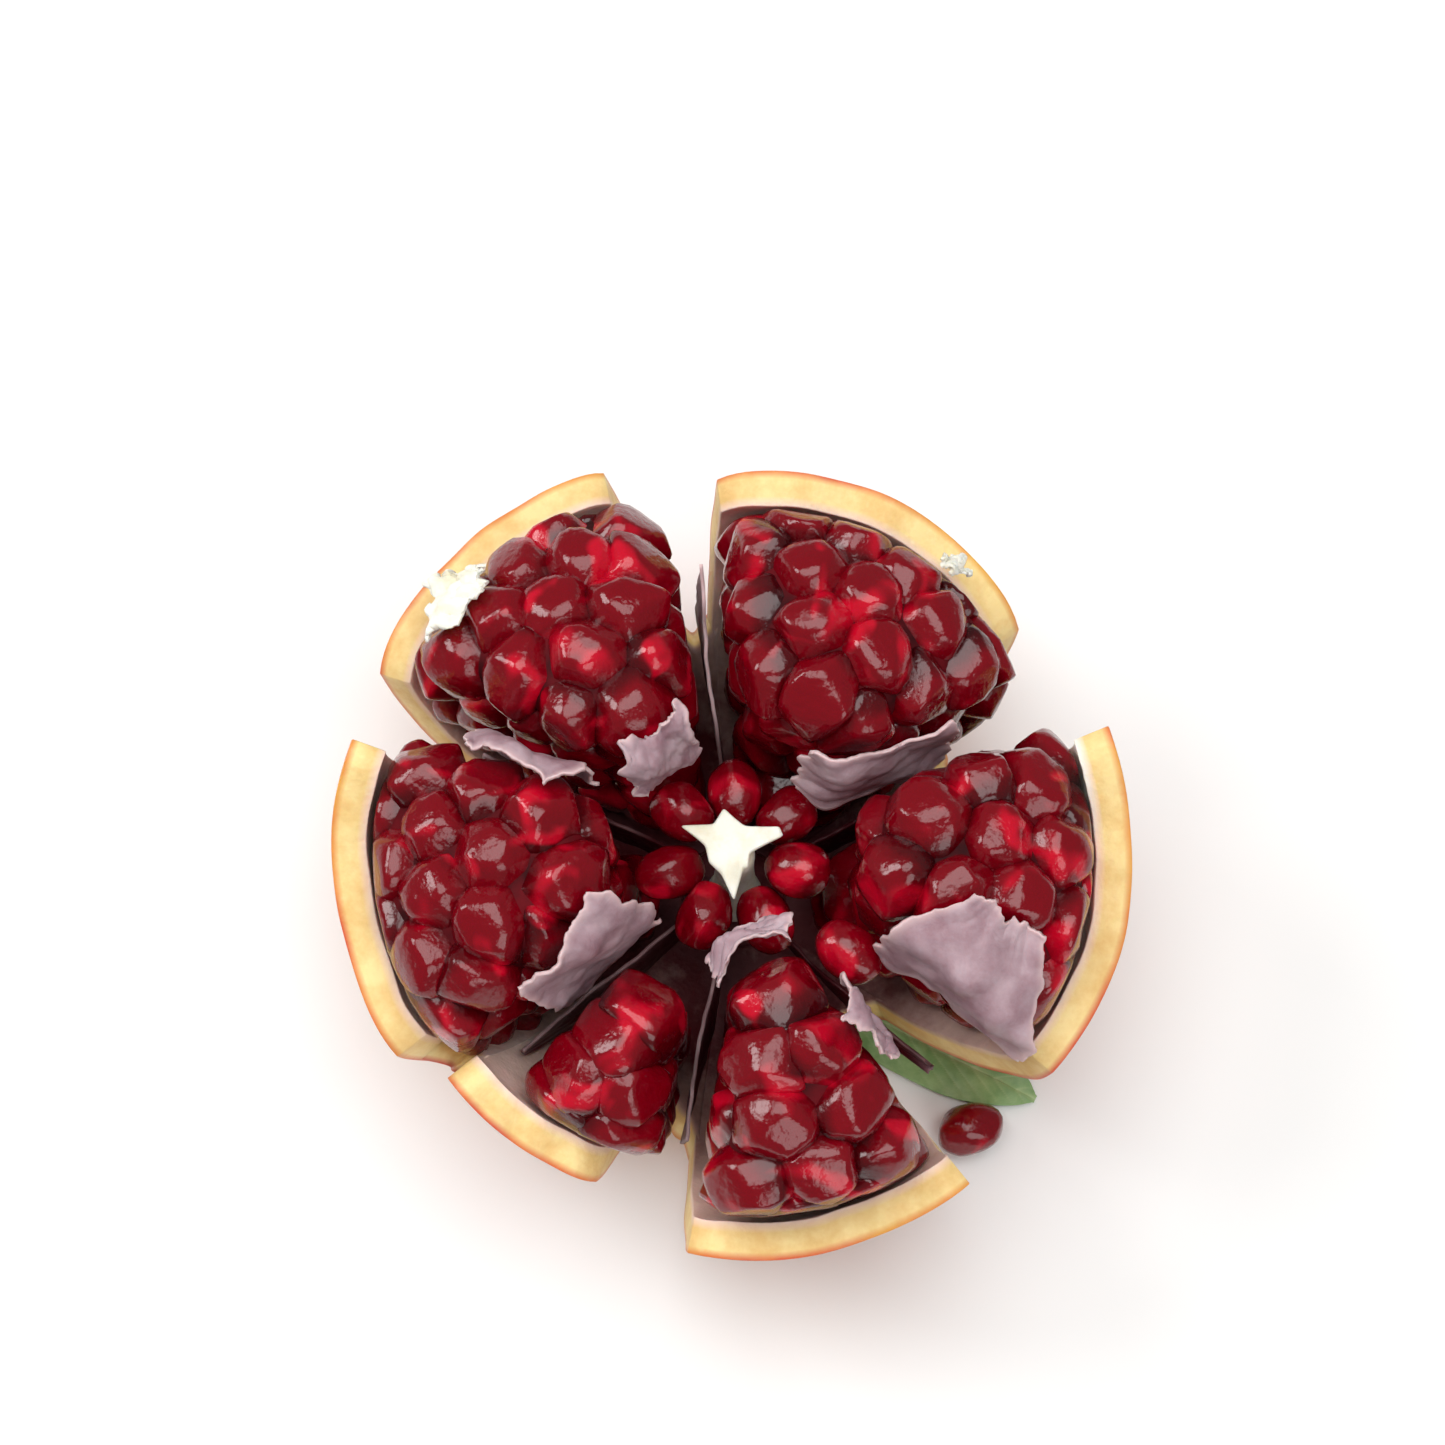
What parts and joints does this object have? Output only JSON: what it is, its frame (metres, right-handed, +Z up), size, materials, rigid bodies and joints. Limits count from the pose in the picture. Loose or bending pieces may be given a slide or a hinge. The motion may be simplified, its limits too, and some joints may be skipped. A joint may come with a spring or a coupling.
{
  "type": "open pomegranate",
  "caption": "Pomegranate with its top cut away and its rind opened into petals, each holding a chamber of red arils, around a white core.",
  "frame": {"origin": "centre of the flat foot under the fruit, on the fruit's axis", "axes": "+Z up along the fruit's axis, +X and +Y level; the fruit has no front, and the leaf lies between +X and -Y"},
  "size_m": [0.1098, 0.1115, 0.0578],
  "materials": {
    "rind": "waxy",
    "aril": "wet gloss, translucent",
    "membrane": "thin and translucent",
    "pith": "matte and spongy",
    "leaf": "satin",
    "stem": "rough"
  },
  "bodies": {
    "root": {"rind": "rind", "arils_right": "aril", "arils_upper_right": "aril", "arils_upper_left": "aril", "arils_left": "aril", "arils_lower_left": "aril", "arils_lower": "aril", "core": "pith", "aril_by_core_1": "aril", "aril_by_core_2": "aril", "aril_by_core_3": "aril", "aril_by_core_4": "aril", "aril_by_core_5": "aril", "aril_by_core_6": "aril", "aril_by_core_7": "aril", "aril_between_right_and_lower": "aril", "loose_aril": "aril", "membrane_left_above": "membrane", "membrane_left_below": "membrane", "membrane_right_below": "membrane", "membrane_upper_right": "membrane", "membrane_upper_left": "membrane", "membrane_lower_above": "membrane", "membrane_lower_tip": "membrane", "pith_scrap": "pith", "pith_chip": "pith", "septum_right": "membrane", "septum_upper_middle": "membrane", "septum_upper_left": "membrane", "septum_left": "membrane", "septum_lower_left": "membrane", "septum_lower_right": "membrane", "leaf": "leaf", "stem": "stem"}
  },
  "joints": []
}
